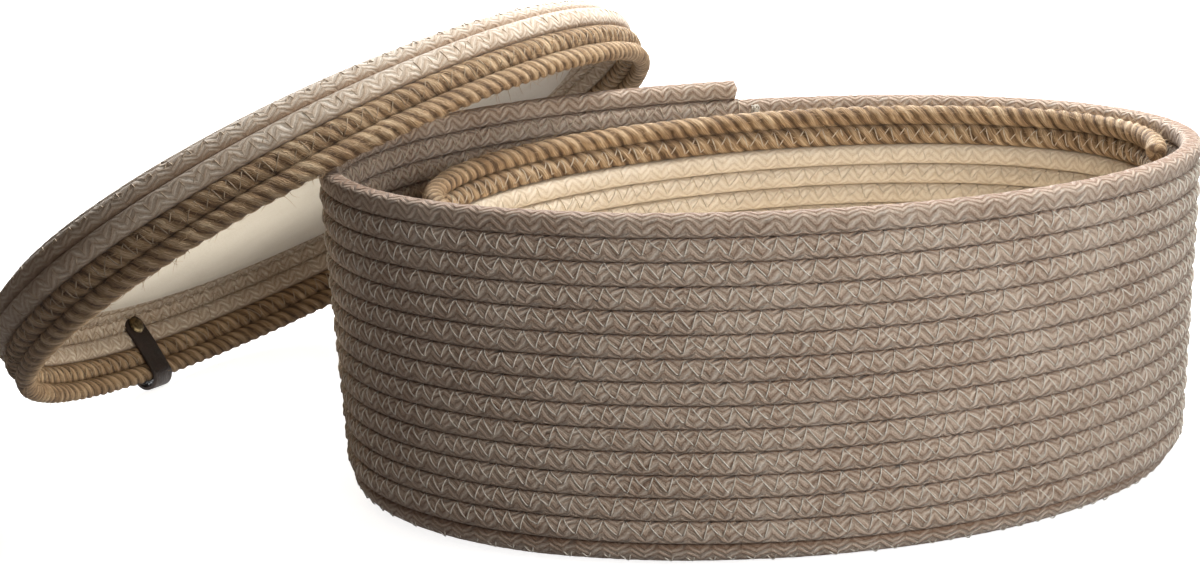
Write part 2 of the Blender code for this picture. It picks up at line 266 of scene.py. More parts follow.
# Where the photograph was taken from
CAMERA_PLACE = Vector((-124.0, -651.1, 240.8)) * MM
CAMERA_YAW = 0.141
CAMERA_PITCH = 0.264
CAMERA_ROLL = -0.032
PHOTO_WIDTH = 1200
PHOTO_HEIGHT = 579
FOCAL_PIXELS = 2127
CENTRE_PIXEL = (670, 280)
SENSOR = 36.0
NEAREST_SEEN = 36.0 * MM

# Least values that keep a ring open and a division sound
SMALLEST_SHARE = 0.001
SMALLEST_LENGTH = 1e-12

random = np.random.default_rng(SEED)


class Path:
    """A line in space with the ways along it, out of the wall and up the wall at each point."""

    def __init__(self, rows, centre, normal, bend):
        self.rows = rows
        self.centre = centre
        self.along = unit(np.gradient(centre, axis=0))
        up = np.array([0.0, 0.0, 1.0])
        climb = normal * np.cos(bend)[:, None] + up * np.sin(bend)[:, None]
        face = normal * np.sin(bend)[:, None] - up * np.cos(bend)[:, None]
        self.climb = unit(climb - self.along * dot(climb, self.along))
        face = face - self.along * dot(face, self.along)
        self.face = unit(face - self.climb * dot(face, self.climb))
        self.station = stations(centre)


def dot(one, two):
    return (one * two).sum(axis=-1, keepdims=True)


def unit(vectors):
    return vectors / np.maximum(np.linalg.norm(vectors, axis=-1, keepdims=True), SMALLEST_LENGTH)


def stations(points):
    """How far along the line each of its points lies."""
    runs = np.linalg.norm(np.diff(points, axis=0), axis=1)
    return np.concatenate([[0.0], np.cumsum(runs)])


def smooth_share(share):
    share = np.clip(share, 0, 1)
    return share * share * (3 - 2 * share)


class Coil:
    """One rope wound in an oval: flat from the middle of the plate, round a corner and up a wall."""

    def __init__(self, length, width, turns, lean, end_angle):
        self.half = (np.array([length, width]) - ROPE) / 2
        self.turns = round(turns * LOOP_POINTS) / LOOP_POINTS
        self.lean = lean
        self.end_angle = end_angle
        self.flat_share = 1.0
        out, up, _ = self.section(np.zeros(1))
        self.reach = out[0]
        self.height = up[0] + ROPE
        self.plate = self.half - self.reach
        self.all_turns = self.turns + self.flat_turns()
        self.flat_share = self.plate[1] / PITCH / (self.all_turns - self.turns)

    def flat_turns(self):
        """How many turns fill the plate, so that the rope starts at one end of the plate's middle line."""
        wanted = self.plate[1] / PITCH
        start = self.end_angle / TURN + self.turns
        return (round((start + wanted) * 2 - MIDDLE_START) + MIDDLE_START) / 2 - start

    def section(self, rows):
        """How far out and up from the plate's edge the rope's centre is, and the slope of the wall there."""
        run = (self.turns - rows) * PITCH
        bend = np.clip(run / CORNER_RADIUS, 0, QUARTER - self.lean)
        straight = np.maximum(run - bend * CORNER_RADIUS, 0)
        inward = np.minimum(run, 0) * self.flat_share
        out = CORNER_RADIUS * np.sin(bend) + straight * np.cos(bend) + inward
        up = CORNER_RADIUS * (1 - np.cos(bend)) + straight * np.sin(bend)
        return out, up, bend

    def place(self, rows):
        """The rope's centre, its level way out and the wall's slope, this many turns before its end."""
        out, up, bend = self.section(rows)
        angle = self.end_angle + TURN * rows
        cos, sin = np.cos(angle), np.sin(angle)
        half = np.maximum(self.plate + out[:, None], SMALLEST_SHARE * PITCH)
        oval = np.stack([half[:, 0] * cos, half[:, 1] * sin], 1)
        oval_way = unit(np.stack([half[:, 1] * cos, half[:, 0] * sin], 1))
        bow = np.clip(np.arctan2(np.abs(sin), np.abs(cos)) * BOW_SPEED, 0, QUARTER)
        slot_way = np.stack([np.cos(bow) * np.sign(cos), np.sin(bow) * np.sign(sin)], 1)
        straight = np.stack([np.clip(2 * cos, -1, 1) * (self.plate[0] - self.plate[1]), 0 * cos], 1)
        slot = straight + slot_way * half[:, 1:]
        share = smooth_share(-out / self.plate[1])[:, None]
        level = oval * (1 - share) + slot * share
        way = unit(oval_way * (1 - share) + slot_way * share)
        centre = np.column_stack([level, up + ROPE / 2])
        return centre, np.column_stack([way, 0 * up]), bend

    def path(self, last, first, spacing):
        """The rope from first turns before its end to last turns before it, in even steps."""
        fine = np.linspace(first, last, int((first - last) * FINE_STEPS) + 2)
        length = stations(self.place(fine)[0])
        count = max(2, round(length[-1] / spacing))
        rows = np.interp(np.linspace(0, length[-1], count + 1), length, fine)
        return Path(rows, *self.place(rows))


OUTER = Coil(OUTER_LENGTH, OUTER_WIDTH, OUTER_TURNS, OUTER_LEAN, OUTER_END_ANGLE)
INNER = Coil(INNER_LENGTH, INNER_WIDTH, INNER_TURNS, INNER_LEAN, INNER_END_ANGLE)
LID_GROWTH = 2 * (ROPE + LID_CLEARANCE)
LID = Coil(OUTER_LENGTH + LID_GROWTH, OUTER_WIDTH + LID_GROWTH, LID_TURNS, LID_LEAN, LID_END_ANGLE)


def inner_place():
    side = INNER_END_PLAY / 2 - INNER_SIDE_GAP
    shift = Matrix.Translation((side, -INNER_FRONT_SHIFT, ROPE + SEAT_GAP))
    return shift @ Matrix.Rotation(INNER_YAW, 4, "Z")


def lid_place():
    """The lid's axes, read from its lining: an oval plate whose middle lies on the lid's own axis."""
    points = np.array([vert.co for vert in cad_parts["lid_lining"].data.vertices])
    middle = points.mean(axis=0)
    ways = np.linalg.svd(points - middle, full_matrices=False)[2]
    long_way = ways[0] * np.sign(ways[0][0])
    top_way = ways[2] * np.sign(ways[2][2])
    lining_middle = LID.height - ROPE - SEAT_GAP - LINING_THICKNESS / 2
    axes = np.column_stack([long_way, np.cross(top_way, long_way), top_way])
    turn = Matrix(axes.tolist()).to_4x4()
    return Matrix.Translation(Vector(middle - top_way * lining_middle)) @ turn


TURNED_OVER = Matrix.Translation((0, 0, LID.height)) @ Matrix.Diagonal((1, 1, -1, 1))
OUTER_PLACE = Matrix.Identity(4)
INNER_PLACE = inner_place()
LID_PLACE = lid_place()
LID_COIL_PLACE = LID_PLACE @ TURNED_OVER


def placed(points, place):
    matrix = np.array(place)
    return np.asarray(points) @ matrix[:3, :3].T + matrix[:3, 3]


def strip_faces(rings, sides):
    """The corners of the quads between rings of points, and each corner's ring and side for its UV."""
    ring = np.repeat(np.arange(rings - 1), sides)
    side = np.tile(np.arange(sides), rings - 1)
    ring_corners = np.stack([ring, ring, ring + 1, ring + 1], 1)
    side_corners = np.stack([side, side + 1, side + 1, side], 1)
    return ring_corners * sides + side_corners % sides, ring_corners, side_corners


def grid_object(name, rings, along, look, flip=False):
    """A smooth closed tube through rings of points, with UVs that run along it and round it."""
    count, sides = rings.shape[:2]
    quads, ring_corners, side_corners = strip_faces(count, sides)
    caps = np.stack([np.arange(sides)[::-1], np.arange(sides) + (count - 1) * sides])
    cap_rings = np.stack([np.zeros(sides, int), np.full(sides, count - 1)])
    cap_sides = np.stack([np.arange(sides)[::-1], np.arange(sides)])
    if flip:
        quads, ring_corners, side_corners = quads[:, ::-1], ring_corners[:, ::-1], side_corners[:, ::-1]
        caps, cap_rings, cap_sides = caps[:, ::-1], cap_rings[:, ::-1], cap_sides[:, ::-1]
    corners = np.concatenate([quads.ravel(), caps.ravel()])
    starts = np.concatenate([np.arange(len(quads)) * 4, len(quads) * 4 + np.arange(2) * sides])
    mesh = bpy.data.meshes.new(name)
    mesh.vertices.add(count * sides)
    mesh.vertices.foreach_set("co", rings.astype(np.float32).ravel())
    mesh.loops.add(len(corners))
    mesh.loops.foreach_set("vertex_index", corners.astype(np.int32))
    mesh.polygons.add(len(starts))
    mesh.polygons.foreach_set("loop_start", starts.astype(np.int32))
    mesh.update(calc_edges=True)
    uv = np.stack([
        along[np.concatenate([ring_corners.ravel(), cap_rings.ravel()])],
        np.concatenate([side_corners.ravel(), cap_sides.ravel()]) / sides,
    ], 1)
    mesh.uv_layers.new(name="rope")
    mesh.uv_layers["rope"].data.foreach_set("uv", uv.astype(np.float32).ravel())
    mesh.polygons.foreach_set("use_smooth", np.ones(len(starts), bool))
    mesh.materials.append(look)
    obj = bpy.data.objects.new(name, mesh)
    bpy.context.scene.collection.objects.link(obj)
    return obj


def finish_piece(obj, body, slot, *nodes):
    """The piece rides on its body and stands for these nodes."""
    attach(obj, body)
    if nodes:
        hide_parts(*nodes)
    return obj


def slow_wave(station):
    """A gentle, seeded waver along a rope, between about minus one and one."""
    lengths = random.uniform(SHORTEST_WAVE, LONGEST_WAVE, WOBBLE_WAVES)
    phases = random.uniform(0, TURN, WOBBLE_WAVES)
    waves = np.sin(TURN * station[:, None] / lengths + phases)
    return waves.sum(axis=1) / math.sqrt(WOBBLE_WAVES)


def end_shares(station, radius):
    """Round shoulders for the two cut ends of a rope, as shares of its radius."""
    from_end = np.minimum(station, station[-1] - station)
    share = np.clip(from_end / radius, 0, 1)
    return np.sqrt(np.clip(1 - (1 - share) ** 2, END_SHARE, 1))


def squared(value, share=SQUARE_SHARE):
    """A cosine or sine whose circle is pressed towards a square, as sewn turns press each other."""
    return np.sign(value) * np.abs(value) ** share


def tuck(angle, rows):
    """How far the sewing draws the rope in just beyond the seam, as a share of its radius at that angle."""
    drawn = np.exp(-(((angle - TUCK_ANGLE) / TUCK_SPREAD) ** 2))
    return 1 - TUCK_SHARE * drawn * (rows > 1)


def rope_rings(path, sides, radius_share, place, shoulders, share=SQUARE_SHARE):
    """Rings of points round a rope, pressed against its neighbours and drawn in beyond each seam."""
    angles = np.arange(sides) * TURN / sides
    waver = slow_wave(path.station)[:, None] * WOBBLE
    sway = slow_wave(path.station)[:, None] * WOBBLE
    centre = path.centre + path.face * waver + path.climb * sway * 0.5
    free_side = (path.rows[:, None] < 1) & (np.sin(angles)[None, :] > 0)
    shares = radius_share * shoulders[:, None]
    pressed = PITCH / 2 * np.maximum(shares, shoulders[:, None])
    climb_radius = np.where(free_side, ROPE / 2 * shares, pressed)
    from_face = np.arctan2(np.sin(angles), np.abs(np.cos(angles)))
    drawn = tuck(from_face[None, :], path.rows[:, None])
    cos, sin = squared(np.cos(angles), share), squared(np.sin(angles), share)
    across = path.face[:, None, :] * (ROPE / 2 * shares * drawn * cos)[:, :, None]
    upward = path.climb[:, None, :] * (climb_radius * sin)[:, :, None]
    points = centre[:, None, :] + across + upward
    points[:, :, 2] = np.maximum(points[:, :, 2], FLAT_BELOW)
    return placed(points, place)


def cotton_rope(name, coil, last, first, place, look):
    """A braided rope whose paired yarns stand proud in a herringbone."""
    path = coil.path(last, first, COTTON_STEP)
    periods = path.station / BRAID_PERIOD
    zigzag = 2 * np.abs(periods - np.floor(periods) - 0.5)
    around = np.arange(COTTON_SIDES) / COTTON_SIDES
    yarn = around[None, :] * YARNS + zigzag[:, None] * YARN_SLANT
    pair = np.abs(np.sin(math.pi * yarn / 2))
    plump = np.abs(np.sin(TURN * periods))[:, None]
    relief = (pair * (YARN_STEADY + plump * (1 - YARN_STEADY)) - YARN_STEADY) * YARN_RELIEF
    shoulders = end_shares(path.station, END_ROUND) if last == 0 else np.ones(len(periods))
    shoulders[0] = 1
    rings = rope_rings(path, COTTON_SIDES, 1 + relief / (ROPE / 2), place, shoulders)
    return grid_object(name, rings, periods, look, flip=place.determinant() > 0)


def jute_rope(name, coil, last, first, place, look):
    """A rope of three twisted strands."""
    path = coil.path(last, first, JUTE_STEP)
    hand = math.copysign(1, place.determinant())
    around = np.arange(JUTE_SIDES) / JUTE_SIDES
    strand = JUTE_STRANDS * around[None, :] - hand * (path.station / STRAND_SPACING)[:, None]
    crest = np.abs(np.cos(math.pi * strand)) ** STRAND_FULLNESS
    lumps = np.prod([slow_wave(path.station * rate) for rate in LUMP_RATES], axis=0)[:, None]
    shoulders = end_shares(path.station, END_ROUND)
    share = STRAND_SWELL - STRAND_DEPTH_SHARE * (1 - crest) + LUMP_SHARE * lumps * crest
    rings = rope_rings(path, JUTE_SIDES, share, place, shoulders, 1.0)
    return grid_object(name, rings, hand * path.station / STRAND_SPACING, look, flip=hand > 0)


def tube_rings(points, radius, sides, lead):
    """Rings round a line of points. lead is a way that the line never runs along."""
    along = unit(np.gradient(points, axis=0))
    side = unit(np.cross(along, lead))
    other = np.cross(side, along)
    angles = np.arange(sides) * TURN / sides
    round_ways = side[:, None, :] * np.cos(angles)[:, None] + other[:, None, :] * np.sin(angles)[:, None]
    return points[:, None, :] + radius * round_ways


def zigzag_thread(name, coil, place, look, outside, jute_rows=0.0):
    """The thread that sews each turn to the next: a slanting zigzag below the seam, on one face only."""
    whole = coil.path(1, coil.all_turns, ZIGZAG_PERIOD)
    rise = np.linspace(0, STITCH_RISE_SHARE, STITCH_STEPS + 1)[:-1]
    fall = np.linspace(STITCH_RISE_SHARE, 1, STITCH_STEPS + 1)[:-1]
    phases = np.concatenate([rise, fall])
    heights = np.concatenate([rise / STITCH_RISE_SHARE, (1 - fall) / (1 - STITCH_RISE_SHARE)])
    stitches = len(whole.rows) - 1
    station = (np.arange(stitches)[:, None] + phases[None, :]).ravel() * ZIGZAG_PERIOD
    station = np.maximum.accumulate(station + slow_wave(station) * ZIGZAG_PERIOD * STITCH_DRIFT)
    rows = np.interp(station, whole.station, whole.rows)
    path = Path(rows, *coil.place(rows))
    above = coil.place(rows - 1)[0]
    face = path.face if outside else -path.face
    up_way = unit(above - path.centre)
    height = np.tile(heights, stitches)
    rising = np.tile(np.arange(len(phases)) < STITCH_STEPS, stitches)
    on_jute = rows < jute_rows + 1
    low = np.where(on_jute, JUTE_STITCH_LOW, STITCH_LOW) + STITCH_VARIES * slow_wave(station * STITCH_RATE)
    low_share, top_share = squared(np.sin(low)), squared(np.sin(STITCH_TOP))
    angle = np.arcsin(squared(low_share + (top_share - low_share) * height, 1 / SQUARE_SHARE))
    at_end = np.exp(-((np.minimum(height, 1 - height) / STITCH_SINK_REACH) ** 2))
    sunk = JUTE_SINK - JUTE_SINK_VARIES * slow_wave(station * JUTE_SINK_RATE)
    proud = np.where(rising, PROUD_RISING, PROUD_FALLING) - on_jute * sunk
    radius = (1 + THREAD_RADIUS / ROPE * proud) * (1 - (1 - STITCH_SINK_SHARE) * at_end)
    across = radius * tuck(angle, rows) * squared(np.cos(angle))
    points = path.centre + face * (across * ROPE / 2)[:, None]
    points += up_way * (radius * squared(np.sin(angle)) * PITCH / 2)[:, None]
    rings = tube_rings(points, THREAD_RADIUS, THREAD_SIDES, path.along + face * LEAD_SHARE)
    rings[:, :, 2] = np.maximum(rings[:, :, 2], 0)
    flip = place.determinant() < 0
    return grid_object(name, placed(rings, place), station / ZIGZAG_PERIOD, look, flip)


def jute_hairs(name, coil, last, first, place, look):
    """Loose hairs that stand out from a jute rope, as one mesh of fine tapering spikes."""
    path = coil.path(last, first, HAIR_SPACING)
    count = len(path.rows)
    around = random.uniform(-QUARTER, TURN / 2, count)
    lean = random.uniform(-1, 1, count)
    reach = HAIR_LENGTH * random.uniform(HAIR_SHORTEST, 1, count)
    out = unit(path.face * np.cos(around)[:, None] + path.climb * np.sin(around)[:, None])
    way = unit(path.along * lean[:, None] + out * random.uniform(0, HAIR_STAND, count)[:, None] ** 2)
    curl = random.normal(0, HAIR_CURL, (count, 3))
    foot = path.centre + out * HAIR_FOOT
    verts = []
    faces = []
    for index in range(count):
        shares = np.linspace(0, 1, HAIR_POINTS)[:, None]
        line = foot[index] + way[index] * reach[index] * shares
        line = line + curl[index] * reach[index] * shares**2
        rings = tube_rings(line, 1.0, HAIR_SIDES, path.climb[index] * LEAD_SHARE + path.face[index])
        taper = HAIR_RADIUS * (1 - HAIR_TAPER * shares)[:, :, None]
        ring_points = placed((line[:, None, :] + (rings - line[:, None, :]) * taper).reshape(-1, 3), place)
        if ring_points[:, 2].min() < FLAT_BELOW:
            continue
        start = len(verts)
        verts.extend(ring_points.tolist())
        quads = strip_faces(HAIR_POINTS, HAIR_SIDES)[0] + start
        faces.extend(quads.tolist())
        faces.append([start + side for side in range(HAIR_SIDES)[::-1]])
        faces.append([start + HAIR_SIDES * (HAIR_POINTS - 1) + side for side in range(HAIR_SIDES)])
    return plain_object(name, verts, faces, look)


def plain_object(name, verts, faces, look):
    mesh = bpy.data.meshes.new(name)
    mesh.from_pydata(verts, [], faces)
    mesh.update()
    mesh.polygons.foreach_set("use_smooth", np.ones(len(mesh.polygons), bool))
    mesh.materials.append(look)
    obj = bpy.data.objects.new(name, mesh)
    bpy.context.scene.collection.objects.link(obj)
    return obj


def rod_object(name, rings, look):
    """A closed smooth tube through rings of points that needs no place along it."""
    return grid_object(name, rings, np.linspace(0, 1, len(rings)), look)


def turned_object(name, profile, place, look):
    """A body turned round its own Z. Its profile of radius and height runs from the axis out and back."""
    angles = np.arange(RIVET_SIDES) * TURN / RIVET_SIDES
    ring = np.stack([np.cos(angles), np.sin(angles), 0 * angles], 1)
    rings = [ring * max(radius, SMALLEST_SHARE * MM) + (0, 0, height) for radius, height in profile]
    return rod_object(name, placed(np.array(rings), place), look)


def knot_object(name, spot, out_way, look):
    """A small ball of tangled thread ends."""
    share = np.linspace(0, 1, KNOT_POINTS)
    turns = TURN * share
    ways = np.stack([
        np.cos(KNOT_WINDS[0] * turns) * np.cos(KNOT_WINDS[1] * turns),
        np.sin(KNOT_WINDS[0] * turns) * np.cos(KNOT_WINDS[1] * turns),
        np.sin(KNOT_WINDS[2] * turns),
    ], 1)
    points = spot + ways * KNOT_RADIUS + random.normal(0, KNOT_TANGLE, ways.shape)
    return rod_object(name, tube_rings(points, THREAD_RADIUS, THREAD_SIDES * 2, out_way), look)


def lining_half():
    """Half the felt's length and width: the flat of the lid's top, less a margin that leaves rope bare."""
    return LID.plate - ROPE / 2 - LINING_MARGIN


def lining_object(name, look):
    """The felt panel under the lid's top: a thin oval with a rounded edge and a slow, slight unevenness."""
    top = LID.height - ROPE - SEAT_GAP
    half = lining_half()
    angles = np.arange(LINING_SIDES) * TURN / LINING_SIDES
    ring = np.stack([np.cos(angles), np.sin(angles)], 1)
    edge = [QUARTER - 2 * QUARTER * step / EDGE_STEPS for step in range(EDGE_STEPS + 1)]
    thick = LINING_THICKNESS / 2
    profile = [(share, 0.0, thick) for share in np.linspace(0, 1, LINING_RINGS)[:-1]]
    profile += [(1.0, thick * math.cos(angle), thick * math.sin(angle)) for angle in edge]
    profile += [(share, 0.0, -thick) for share in np.linspace(1, 0, LINING_RINGS)[1:]]
    rings = []
    for share, beyond, height in profile:
        level = ring * ((half - thick) * max(share, SMALLEST_SHARE) + beyond)
        waves = np.sin(level[:, 0] / LINING_WAVE) * np.cos(level[:, 1] / LINING_WAVE)
        swell = LINING_SWELL * waves * (height < 0)
        rings.append(np.column_stack([level, np.full(LINING_SIDES, top - thick + height) - swell]))
    return rod_object(name, placed(np.array(rings), LID_PLACE), look)


class StrapSeat:
    """Where the strap crosses the lid's rim: its axes, the legs' places across the wall and its two ends."""

    def __init__(self):
        rows = (STRAP_STEP + 0.5) / LOOP_POINTS
        centre, way, _ = LID.place(np.array([rows]))
        spot = Vector(centre[0])
        outward = Vector(way[0])
        along = Vector((0, 0, 1)).cross(outward)
        axes = Matrix((along, outward, (0, 0, 1))).transposed().to_4x4()
        axes.translation = Vector((spot.x, spot.y, 0))
        self.place = LID_PLACE @ axes
        self.reach = ROPE / 2 + STRAP_SEAT
        self.rim = LID.height - spot.z
        self.low = self.rim - STRAP_SLACK
        self.tip = self.rim + STRAP_LEG
        self.rivet = self.rim + RIVET_ROWS * PITCH


def strap_sections(seat):
    """Places along the strap, from one rounded tip round the fold to the other."""
    corner = np.linspace(0, QUARTER, CORNER_STEPS + 1)
    tip_drop = STRAP_CORNER * (1 - np.cos(corner))
    leg_drop = np.linspace(STRAP_CORNER, seat.tip - seat.low, LEG_STEPS + 1)[1:-1]
    drops = np.concatenate([tip_drop, leg_drop])
    into = np.clip(STRAP_CORNER - drops, 0, None)
    half_width = STRAP_WIDTH / 2 - STRAP_CORNER + np.sqrt(STRAP_CORNER**2 - into**2)
    leg = [((0.0, seat.tip - drop), (-1.0, 0.0), half) for drop, half in zip(drops, half_width)]
    fold = []
    for angle in np.linspace(0, math.pi, FOLD_STEPS + 1):
        fold.append(((0.0, seat.low), (-math.cos(angle), -math.sin(angle)), STRAP_WIDTH / 2))
    back = [(centre, (1.0, 0.0), half) for centre, _, half in leg[::-1]]
    return leg + fold + back


def strap_object(name, seat, look):
    """The strap: a leather strip with rounded edges, its legs drawn in a little under the rivet."""
    corner = np.linspace(0, QUARTER, EDGE_STEPS + 1)
    rings = []
    for (across, height), (out_y, out_z), half in strap_sections(seat):
        pinch = STRAP_PINCH * math.exp(-(((height - seat.rivet) / STRAP_PINCH_REACH) ** 2)) * abs(out_y)
        centre = np.array([0.0, across + out_y * (seat.reach - pinch), height + out_z * seat.reach])
        out = np.array([0.0, out_y, out_z])
        ring = []
        for turn in range(4):
            side = (1, -1, -1, 1)[turn]
            over = (1, 1, 0, 0)[turn]
            start = turn * QUARTER
            for angle in corner + start:
                x = side * max(half - STRAP_EDGE, SMALLEST_SHARE * MM) + STRAP_EDGE * math.cos(angle)
                depth = over * (STRAP_THICKNESS - 2 * STRAP_EDGE) + STRAP_EDGE + STRAP_EDGE * math.sin(angle)
                ring.append(centre + out * depth + (x, 0, 0))
        rings.append(ring)
    rings = np.array(rings)
    run = stations(rings.mean(axis=1)) / STRAP_WIDTH
    return grid_object(name, placed(rings, seat.place), run, look)


def rivet_objects(seat, look):
    """The domed cap with a rolled edge and its post, and the washer on the post's far end."""
    facing_in = Matrix.Translation((0, 0, seat.rivet)) @ Matrix.Rotation(QUARTER, 4, "X")
    place = seat.place @ facing_in
    face = seat.reach + STRAP_THICKNESS - STRAP_PINCH + SEAT_GAP / 3
    dome = [QUARTER * step / DOME_STEPS for step in range(1, DOME_STEPS + 1)]
    flat = CAP_RADIUS - CAP_EDGE
    edge = [2 * QUARTER * step / EDGE_STEPS for step in range(EDGE_STEPS + 1)]
    rim = [(flat + CAP_EDGE * math.sin(angle), face + CAP_EDGE * (1 + math.cos(angle))) for angle in edge]
    rise = CAP_HEIGHT - 2 * CAP_EDGE
    cap = [(flat * math.sin(angle), face + 2 * CAP_EDGE + rise * math.cos(angle)) for angle in dome]
    far = -face - WASHER_HEIGHT
    post = [(POST_RADIUS, face), (POST_RADIUS, far), (0, far)]
    cap_object = turned_object("rivet_cap_brass", [(0, face + CAP_HEIGHT), *cap, *rim, *post], place, look)
    washer = [(POST_RADIUS + BORE_GAP, -face), (CAP_RADIUS, -face), (CAP_RADIUS, far + CAP_EDGE)]
    washer += [(CAP_RADIUS - CAP_EDGE, far), (POST_RADIUS + BORE_GAP, far)]
    washer_object = ring_object("rivet_washer_brass", washer, place, look)
    return cap_object, washer_object


def ring_object(name, profile, place, look):
    """A ring turned round its own Z from a closed profile of radius and height."""
    angles = np.arange(RIVET_SIDES) * TURN / RIVET_SIDES
    loop = np.array([(radius, 0, height) for radius, height in profile])
    turns = np.stack([np.cos(angles), np.sin(angles)], 1)
    points = loop[None, :, :1] * turns[:, None, :]
    heights = np.broadcast_to(loop[None, :, 2:], (RIVET_SIDES, len(profile), 1))
    verts = placed(np.concatenate([points, heights], 2).reshape(-1, 3), place)
    size = len(profile)
    faces = []
    for side in range(RIVET_SIDES):
        here, there = side * size, (side + 1) % RIVET_SIDES * size
        faces += [(here + i, here + (i + 1) % size, there + (i + 1) % size, there + i) for i in range(size)]
    obj = plain_object(name, verts.tolist(), faces, look)
    obj.data.set_sharp_from_angle(angle=SHARP_ANGLE)
    return obj


class Look:
    """A material, with short ways to add the nodes that drive its shader."""

    def __init__(self, name, **constants):
        self.material = bpy.data.materials.new(name)
        self.material.use_nodes = True
        self.tree = self.material.node_tree
        self.shader = self.tree.nodes["Principled BSDF"]
        for socket, value in constants.items():
            self.shader.inputs[socket.replace("_", " ")].default_value = value

    def add(self, kind, inputs, **settings):
        node = self.tree.nodes.new("ShaderNode" + kind)
        for name, value in settings.items():
            setattr(node, name, value)
        for socket, value in inputs.items():
            self.feed(node.inputs[socket], value)
        return node

    def feed(self, socket, value):
        if isinstance(value, bpy.types.NodeSocket):
            self.tree.links.new(value, socket)
        else:
            socket.default_value = value

    def math(self, operation, *values):
        return self.add("Math", dict(enumerate(values)), operation=operation).outputs[0]

    def plus(self, one, two):
        return self.math("ADD", one, two)

    def less(self, one, two):
        return self.math("SUBTRACT", one, two)

    def times(self, one, two):
        return self.math("MULTIPLY", one, two)

    def weigh(self, *parts):
        """The sum of all the parts: pairs of a value and its weight."""
        total = 0.0
        for value, weight in parts:
            total = self.math("MULTIPLY_ADD", value, weight, total)
        return total

    def place(self, kind="Object"):
        return self.add("TexCoord", {}).outputs[kind]

    def split(self, vector):
        return self.add("SeparateXYZ", {0: vector}).outputs

    def join(self, x, y, z=0.0):
        return self.add("CombineXYZ", {0: x, 1: y, 2: z}).outputs[0]

    def noise(self, scale, vector, detail=2.0):
        return self.add("TexNoise", {"Vector": vector, "Scale": scale, "Detail": detail}).outputs["Fac"]

    def sway(self, scale, detail=2.0):
        """A noise about zero, by place on the object."""
        return self.less(self.noise(scale, self.place(), detail), 0.5)

    def span(self, value, low, high, new_low=0.0, new_high=1.0):
        """The value, with low to high stretched over new_low to new_high."""
        places = dict(enumerate((value, low, high, new_low, new_high)))
        return self.add("MapRange", places, clamp=True).outputs[0]

    def ramp(self, value, stops, tones):
        """A colour that runs through the tones, each at its stop."""
        node = self.add("ValToRGB", {0: value})
        places = node.color_ramp.elements
        while len(places) < len(stops):
            places.new(1.0)
        for element, where, tone in zip(places, stops, tones):
            element.position = where
            element.color = (*tone, 1.0)
        return node.outputs[0]

    def bump(self, height, distance):
        return self.add("Bump", {"Height": height, "Distance": distance}).outputs[0]

    def colour(self, value):
        self.feed(self.shader.inputs["Base Color"], value)

    def normal(self, value):
        self.feed(self.shader.inputs["Normal"], value)

    def roughness(self, value):
        self.feed(self.shader.inputs["Roughness"], value)


def braid(look, uv):
    """How far each place of the cotton braid stands out: plump paired yarns in an uneven herringbone."""
    along, around, _ = look.split(uv)
    waver = look.sway(BRAID_WAVER)
    run = look.weigh((along, 1.0), (look.sway(BRAID_DRIFT, 1.0), 0.35), (waver, 0.12))
    zigzag = look.times(look.math("PINGPONG", look.plus(run, 0.5), 0.5), 2.0)
    yarn = look.weigh((around, YARNS), (zigzag, YARN_SLANT), (waver, 0.9))
    valley = look.math("COSINE", look.times(yarn, TURN))
    crest = look.less(0.5, look.times(valley, 0.5))
    ply = look.math("ABSOLUTE", look.math("SINE", look.times(yarn, PLY_TURN)))
    wave = look.math("SINE", look.times(run, TURN))
    plump = look.math("SQRT", look.math("ABSOLUTE", wave))
    upper = look.less(UPPER_LEVEL, look.times(wave, UPPER_SWING))
    full = look.plus(look.times(plump, PLUMP_SHARE), 1 - PLUMP_SHARE)
    body = look.times(look.times(crest, full), upper)
    height = look.weigh((body, 0.85), (ply, 0.15))
    return height, look.join(look.times(run, COTTON_FIBRES[0]), look.times(yarn, COTTON_FIBRES[1]))


def seam_shade(look, uv):
    """One on the rope's outer faces and less in the seams, where the colour is darkened as painted shade."""
    upright = look.math("SINE", look.times(look.split(uv)[1], TURN))
    return look.less(1.0, look.span(look.math("ABSOLUTE", upright), SEAM_EDGE, 1.0))


def cotton_look(name, tones, depth):
    """Braided cotton cord: painted shade darkens it between the yarns and in the seams; soft and fibrous on
    the yarns, uneven from place to place.
    """
    look = Look(name, Roughness=0.85, Specular_IOR_Level=0.3, Sheen_Weight=0.2, Sheen_Roughness=0.5)
    height, fibres = braid(look, look.place("UV"))
    fibre = look.noise(1.0, fibres, 3.0)
    fuzz = look.sway(FUZZ)
    # The braid's height makes the colour darker between the yarns: painted shade. The fibre, patch and fuzz
    # noises are the cord's own uneven tone.
    tone = look.weigh((height, 0.55), (fibre, 0.45), (look.sway(COTTON_PATCH, 3.0), 0.4), (fuzz, 0.5))
    # Painted shade: the tone is darkened in the seams between turns.
    seam_shade_factor = look.plus(look.times(seam_shade(look, look.place("UV")), 1 - SEAM_KEEPS), SEAM_KEEPS)
    look.colour(look.ramp(look.times(tone, seam_shade_factor), COTTON_STOPS, tones))
    look.normal(look.bump(look.weigh((height, 1.0), (fibre, 0.3), (fuzz, 0.3)), depth))
    return look.material


